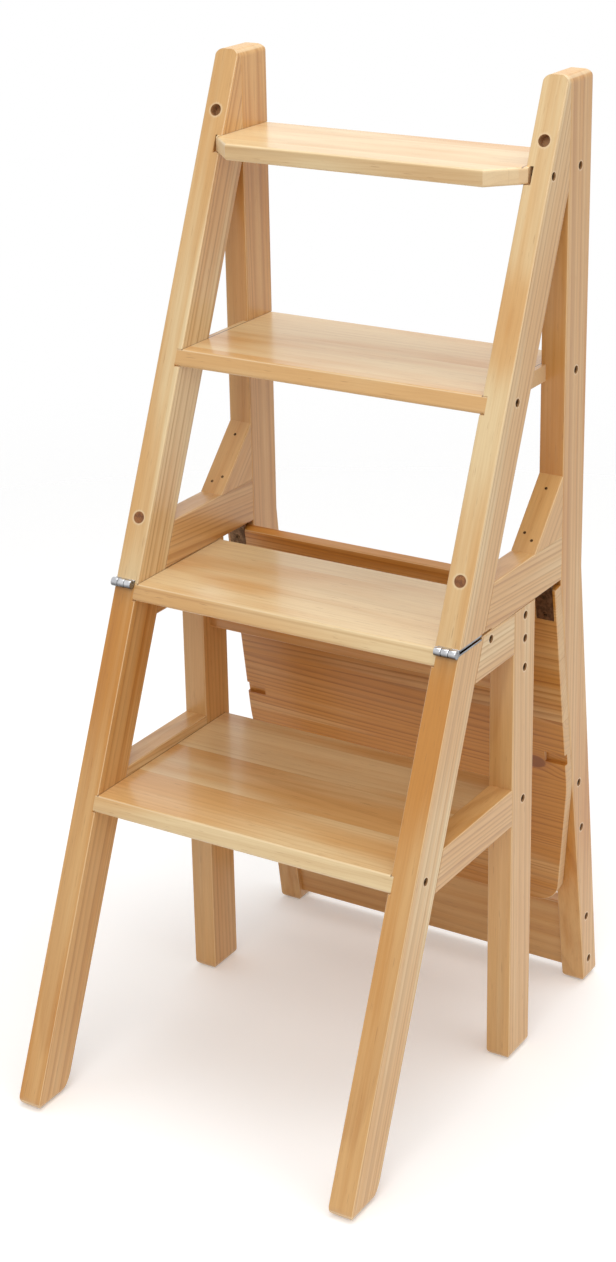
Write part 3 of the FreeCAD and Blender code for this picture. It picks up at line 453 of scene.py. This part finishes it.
PLUG_RADIUS = 0.0053
PLUG_HOLE_DEPTH = 0.012
POST_PATCHES = {
    "left": [
        ((-0.164, -0.03, 0.52), (0.05, 0.06, 0.12), 0.3, 0.3),
        # Painted light: this patch pales the inner face of the left post, as if more light fell on it
        ((-0.152, 0.02, 0.62), (0.006, 0.15, 0.2), -0.25, 1),
    ],
    "right": [
        ((0.164, -0.03, 0.52), (0.05, 0.06, 0.12), 0.3, 0.3),
        ((0.164, 0.055, 0.7), (0.03, 0.04, 0.06), 0.45, 0),
    ],
}
for side, sign in SIDES.items():
    node = f"front_post_{side}"
    bored = [(middle, inward, PLUG_RADIUS, PLUG_HOLE_DEPTH)
             for middle, inward, _, _ in screw_mouths("post_screws", node, -LEG_FRONT)]
    dress(node, pine(
        node, middle_of(node), LEG_GRAIN, LEG_FRONT, seed=41 + sign, turned=-6 * sign, pith=0.09,
        warmth=0.38, face_warmth=-0.08, patches=POST_PATCHES[side], quiet=0.85, lines=0.7,
        holes=bored + screw_mouths("upper_frame_screws", node, -sign * RIGHT)))

# Long posts: each sawn with its bend from one plank, upright above the hinge level and splayed
# below it, with screws from the side into the steps and the backrest slats.

for side, sign in SIDES.items():
    node = f"long_post_{side}"
    dress(node, pine(
        node, middle_of(node), UP, FRONT, pith=0.08, seed=45 + sign, turned=12, ring=0.007,
        warmth=0.58, holes=screw_mouths("upper_frame_screws", node, -sign * RIGHT)))

# Upper rails between the front and the long posts, and the gussets that stiffen their back corners:
# slanting pine blocks, each held by three nails.

GUSSET_RUN = 53.5
GUSSET_RISE = 56
GUSSET_SLANT = Vector((0, GUSSET_RUN, GUSSET_RISE)).normalized()
GUSSET_FACE = Vector((0, -GUSSET_RISE, GUSSET_RUN)).normalized()
for side, sign in SIDES.items():
    node = f"upper_rail_{side}"
    dress(node, pine(
        node, middle_of(node), FRONT, UP, pith=0.05, seed=50 + sign, lean=0.07, turned=10,
        ring=0.005, warmth=0.48, lines=0.7))
    node = f"gusset_{side}"
    dress(node, pine(node, middle_of(node), GUSSET_SLANT, GUSSET_FACE, seed=54 + sign, warmth=0.45))

# Backrest slats: two flat pine boards screwed between the splayed ends of the long posts, which in
# the ladder are low down at the back.

SPLAY = 0.158
SPLAYED_FRONT = Vector((0, -1, -SPLAY)).normalized()
for number, node in enumerate(("high_slat", "low_slat")):
    dress(node, pine(node, middle_of(node), RIGHT, SPLAYED_FRONT, seed=60 + number, warmth=0.6))

# Seat board: a wide thin board glued up from strips, with strong figure across and one knot, hanging
# behind the rear legs.

SEAT_STRIP_WIDTH = 0.066
SEAT_KNOT = ((0.144, 0.158, 0.256), (0.0125, 0.03, 0.0075))
dress("seat_board", pine(
    "seat_board", middle_of("seat_board"), RIGHT, SPLAYED_FRONT, pith=0.03, ring=0.0045, seed=70,
    lean=0.03, turned=30, warmth=0.82, lines=0.9, quiet=0.1, stave=SEAT_STRIP_WIDTH, glaze=0.1,
    knot=SEAT_KNOT))

# Plugs and dowels: short rounds of a darker wood, glued in. The plugs show their end grain where
# they close the lower holes in the front posts.

SPECK_SPANS = (0.0008, 0.0008, 0.0008)
PLUG_CLOUD_SPANS = (0.004, 0.004, 0.004)


def plug_wood(name):
    material, surface, place, _ = begin_finish(name)
    speck = place.noise(SPECK_SPANS, 3.0, 0.7).ease(0.42, 0.62)
    cloud = place.noise(PLUG_CLOUD_SPANS, 2.0).ease(0.35, 0.65)
    colour = cloud.blend(paint(166, 108, 56), paint(124, 74, 36))
    colour = (speck * 0.55).blend(colour, paint(84, 48, 24))
    feed(surface, Base_Color=colour, Roughness=speck * 0.2 + 0.5, Normal=surface_relief(speck, 0.3))
    return material


dark_plug = plug_wood("plug_wood")
for node in ("post_plugs", "lower_frame_dowels", "upper_frame_dowels"):
    dress(node, dark_plug)

# Screws and nails: steel with a dark zinc finish, driven in so deep that their heads lie under the
# surface of the wood.

SCRATCH_SPANS = (0.0004, 0.004, 0.004)


def plated_steel(name, bright, dull, roughness, cloud_size, shaded_underside_share=1.0):
    """Metal with faint clouds and scratches; its lower side keeps this share of the brightness, the
    rest darkened as painted shade and dark reflection.

    Where such a share is given, the broken edges that face sideways are painted dark as well, as
    shade in the gaps between the knuckles.
    """
    material, surface, place, facing = begin_finish(name)
    cloud = place.noise((cloud_size, cloud_size, cloud_size), 3.0, 0.6)
    scratch = place.noise(SCRATCH_SPANS, 2.0)
    colour = cloud.ease(0.35, 0.65).blend(bright, dull)
    if shaded_underside_share < 1:
        sideways = facing.along(RIGHT).maths("ABSOLUTE")
        # Painted shade: the sideways-facing broken edges at the knuckle gaps, and the lower side as a
        # dark reflection
        edges = sideways.ease(0.15, 0.5, 1, 0.15) + sideways.ease(0.9, 0.98, 0, 0.6)
        shade = facing.along(UP).ease(-0.35, 0.4, shaded_underside_share, 1) * edges
        grey = shade.node("CombineXYZ", {}, {0: shade, 1: shade, 2: shade})
        colour = colour.vector("MULTIPLY", grey)
    feed(
        surface, Base_Color=colour, Metallic=1.0,
        Roughness=cloud * 0.2 + scratch * 0.1 + roughness,
        Normal=surface_relief(scratch, 0.15, 0.0001))
    return material


dark_steel = plated_steel(
    "dark_zinc", paint(118, 88, 58), paint(58, 42, 28), roughness=0.45, cloud_size=0.002)
for node in ("lower_frame_screws", "upper_frame_screws", "post_screws", "gusset_nails",
             "lower_leaf_screws", "upper_leaf_screws", "rail_leaf_screws", "board_leaf_screws"):
    dress(node, dark_steel)

# Front hinges, on which the upper half tips over: chromed steel, the knuckles rolled from the leaves
# and their edges broken. The broken edges and the lower sides are painted dark, as shade in the
# gaps and a dark reflection below, so that each knuckle shows as a bright ring.

BROKEN_EDGE = 0.0005
FLAT_TO = math.radians(1)
SHARP_FROM = math.radians(40)
SMOOTH_TO = math.radians(50)


def softened(node, body, finish, width):
    """A copy of a metal piece from the frame with its sharp edges rounded, in place of the piece."""
    held = bmesh.new()
    held.from_mesh(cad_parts[node].data)
    bmesh.ops.remove_doubles(held, verts=held.verts, dist=1e-6)
    bmesh.ops.dissolve_limit(held, angle_limit=FLAT_TO, verts=held.verts, edges=held.edges)
    sharp = [edge for edge in held.edges if edge.calc_face_angle(0) > SHARP_FROM]
    bmesh.ops.bevel(
        held, geom=sharp, offset=width, segments=2, affect="EDGES", profile=0.5, material=-1,
        clamp_overlap=True)
    bmesh.ops.triangulate(held, faces=held.faces)
    bmesh.ops.recalc_face_normals(held, faces=held.faces)
    mesh = bpy.data.meshes.new(node + "_softened")
    held.to_mesh(mesh)
    held.free()
    mesh.shade_smooth()
    mesh.set_sharp_from_angle(angle=SMOOTH_TO)
    piece = bpy.data.objects.new(node + "_softened", mesh)
    bpy.context.scene.collection.objects.link(piece)
    mesh.materials.append(finish)
    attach(piece, body)
    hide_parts(node)


chrome = plated_steel(
    "bright_chrome", paint(214, 215, 218), paint(190, 191, 195), roughness=0.06, cloud_size=0.01,
    shaded_underside_share=0.22)
for side in SIDES:
    for half in ("lower", "upper"):
        leaf = f"front_hinge_{half}_leaf_{side}"
        softened(leaf, f"{half}_frame", chrome, BROKEN_EDGE)
    dress(f"front_hinge_pin_{side}", chrome)

# Seat hinges: a pair of small butt hinges of dull plated steel, screwed to the back ends of the
# upper rails and to the seat board.

dull_steel = plated_steel(
    "dull_zinc", paint(128, 98, 72), paint(92, 68, 48), roughness=0.4, cloud_size=0.004)
for side in SIDES:
    for part in ("rail_leaf", "board_leaf", "pin"):
        dress(f"seat_hinge_{part}_{side}", dull_steel)

# Floor and light of a plain studio: a white sheet underfoot that fades into white air, and large
# soft lamps, the strongest from the front and above.

SHEET_HALF_WIDTH = 8
SHEET_FADE = (0.7, 2.2)
SHEET_GLOW = 0.22
MOTTLE_SPANS = (0.8, 0.8, 0.8)


def in_view(tree):
    """1 for a ray that brings a surface to the camera, straight or by way of metal or glass."""
    ray = tree.nodes.new("ShaderNodeLightPath")
    camera_ray, glossy_ray, clear_ray = (
        Shade(ray.outputs[f"Is {kind} Ray"]) for kind in ("Camera", "Glossy", "Transmission"))
    return (camera_ray + glossy_ray + clear_ray).maths("MINIMUM", 1.0)


bare_floor = bmesh.new()
bmesh.ops.create_grid(bare_floor, x_segments=1, y_segments=1, size=SHEET_HALF_WIDTH)
floor_mesh = bpy.data.meshes.new("studio_floor")
bare_floor.to_mesh(floor_mesh)
bare_floor.free()
floor = bpy.data.objects.new("studio_floor", floor_mesh)
bpy.context.scene.collection.objects.link(floor)
floor_finish, floor_surface, floor_place, _ = begin_finish("studio_floor")
mottle = floor_place.noise(MOTTLE_SPANS, 2.0)
feed(
    floor_surface, Roughness=0.7,
    Base_Color=mottle.blend(paint(242, 241, 240), paint(247, 246, 245)),
    Emission_Color=in_view(floor_finish.node_tree).blend(paint(0, 0, 0), paint(255, 255, 255)),
    Emission_Strength=SHEET_GLOW,
    Alpha=floor_place.length().ease(*SHEET_FADE, 1, 0),
)
floor_mesh.materials.append(floor_finish)

AIR_LIGHT = 0.42
world = bpy.data.worlds.new("studio_air")
bpy.context.scene.world = world
world.use_nodes = True
air = world.node_tree.nodes["Background"]
feed(
    air, Color=(1, 1, 1, 1),
    Strength=in_view(world.node_tree) * (1 - AIR_LIGHT) + AIR_LIGHT)


def lamp(name, power, size, place, aim):
    light = bpy.data.lights.new(name, "AREA")
    light.shape = "SQUARE"
    light.size = size
    light.energy = power
    held = bpy.data.objects.new(name, light)
    bpy.context.scene.collection.objects.link(held)
    held.location = place
    held.rotation_euler = (Vector(aim) - Vector(place)).to_track_quat("-Z", "Y").to_euler()


lamp("key_lamp", power=31, size=1.8, place=(0.7, -2.3, 2.6), aim=(0, 0, 0.6))
lamp("side_lamp", power=11, size=2.0, place=(2.9, -0.4, 1.1), aim=(0, 0, 0.45))
lamp("top_lamp", power=48, size=2.4, place=(0.2, 0.3, 3.0), aim=(0, 0, 0.45))

# Camera, where the photograph was taken from: lengths are in pixels of its height, angles in
# radians, and the place in metres.

PHOTO_HEIGHT = 1262
FOCAL_LENGTH = 2389.8
RISE = 80
YAW = 0.5579
PITCH = -0.3592
ROLL = -0.0192
VIEWPOINT = (1.03936, -1.67107, 1.23108)
view = bpy.data.cameras.new("photo_camera")
view.lens = FOCAL_LENGTH / PHOTO_HEIGHT * view.sensor_width
view.shift_y = -RISE / PHOTO_HEIGHT
view.clip_end = 100
level_forward = Vector((-math.sin(YAW), math.cos(YAW), 0))
forward = math.cos(PITCH) * level_forward + math.sin(PITCH) * UP
level_right = Vector((math.cos(YAW), math.sin(YAW), 0))
level_up = level_right.cross(forward)
right = math.cos(ROLL) * level_right + math.sin(ROLL) * level_up
up = math.cos(ROLL) * level_up - math.sin(ROLL) * level_right
camera = bpy.data.objects.new("photo_camera", view)
bpy.context.scene.collection.objects.link(camera)
turned_as_seen = Matrix((right, up, -forward)).transposed()
camera.matrix_world = Matrix.Translation(VIEWPOINT) @ turned_as_seen.to_4x4()
bpy.context.scene.camera = camera
bpy.context.scene.view_settings.view_transform = "Standard"
